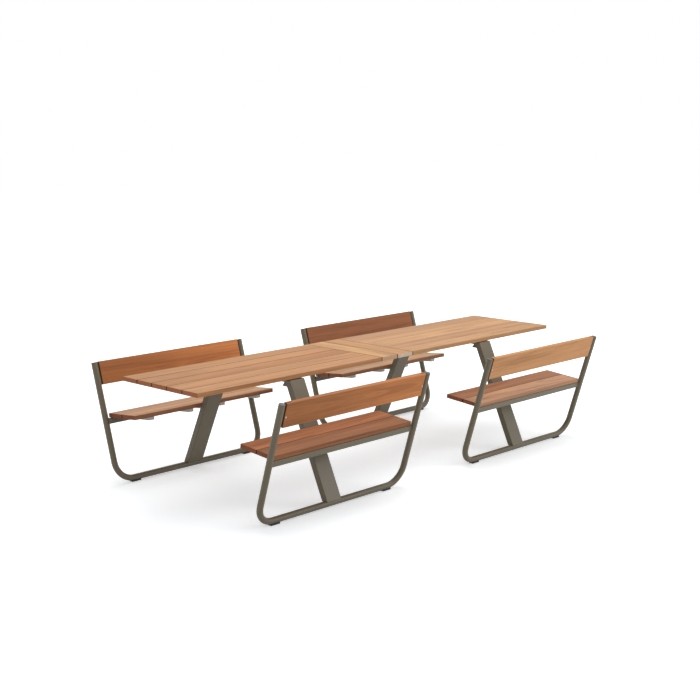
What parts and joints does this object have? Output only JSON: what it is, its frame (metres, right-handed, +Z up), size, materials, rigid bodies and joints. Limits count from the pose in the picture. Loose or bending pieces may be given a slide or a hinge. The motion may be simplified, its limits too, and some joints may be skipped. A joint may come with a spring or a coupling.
{
  "type": "picnic table with bench seats",
  "caption": "Long slatted picnic table of two linked units with crosswise planks between, slanting flat legs, and benches with backrests on bent tube frames.",
  "frame": {"origin": "on the ground, under the middle of the tabletop", "axes": "+X along the table, +Y across it towards the rear benches, +Z up"},
  "size_m": [3.333, 1.7302, 0.75],
  "materials": {
    "bench_metal": "olive brown powder coat, satin",
    "bracket_metal": "light grey coat, satin",
    "table_metal": "olive brown powder coat, satin",
    "seat_wood": "oiled reddish hardwood, planed",
    "backrest_wood": "oiled reddish hardwood, planed",
    "top_wood": "oiled reddish hardwood, planed, paler",
    "foot_plastic": "black, matte",
    "cap_plastic": "dark grey, matte",
    "screw_steel": "stainless"
  },
  "bodies": {
    "root": {"arm_caps": "cap_plastic", "backrest_screws": "screw_steel", "feet": "foot_plastic", "front_left_backrest_plank": "backrest_wood", "front_left_backrest_tongues": "bench_metal", "front_left_seat_brackets": "bracket_metal", "front_left_seat_plank_inner": "seat_wood", "front_left_seat_plank_outer": "seat_wood", "front_left_seat_rail": "bench_metal", "front_left_u_frame": "bench_metal", "front_right_backrest_plank": "backrest_wood", "front_right_backrest_tongues": "bench_metal", "front_right_seat_brackets": "bracket_metal", "front_right_seat_plank_inner": "seat_wood", "front_right_seat_plank_outer": "seat_wood", "front_right_seat_rail": "bench_metal", "front_right_u_frame": "bench_metal", "insert_plank_left": "top_wood", "insert_plank_right": "top_wood", "joiner_bars": "table_metal", "left_cross_beam": "table_metal", "left_leg_front": "table_metal", "left_leg_rear": "table_metal", "left_shoulder_front": "table_metal", "left_shoulder_rear": "table_metal", "left_top_battens": "table_metal", "left_top_plank_1": "top_wood", "left_top_plank_2": "top_wood", "left_top_plank_3": "top_wood", "left_top_plank_4": "top_wood", "left_top_plank_5": "top_wood", "left_top_plate": "table_metal", "rear_left_backrest_plank": "backrest_wood", "rear_left_backrest_tongues": "bench_metal", "rear_left_seat_brackets": "bracket_metal", "rear_left_seat_plank_inner": "seat_wood", "rear_left_seat_plank_outer": "seat_wood", "rear_left_seat_rail": "bench_metal", "rear_left_u_frame": "bench_metal", "rear_right_backrest_plank": "backrest_wood", "rear_right_backrest_tongues": "bench_metal", "rear_right_seat_brackets": "bracket_metal", "rear_right_seat_plank_inner": "seat_wood", "rear_right_seat_plank_outer": "seat_wood", "rear_right_seat_rail": "bench_metal", "rear_right_u_frame": "bench_metal", "right_cross_beam": "table_metal", "right_leg_front": "table_metal", "right_leg_rear": "table_metal", "right_shoulder_front": "table_metal", "right_shoulder_rear": "table_metal", "right_top_battens": "table_metal", "right_top_plank_1": "top_wood", "right_top_plank_2": "top_wood", "right_top_plank_3": "top_wood", "right_top_plank_4": "top_wood", "right_top_plank_5": "top_wood", "right_top_plate": "table_metal", "seat_screws": "screw_steel", "top_screws": "screw_steel"}
  },
  "joints": []
}
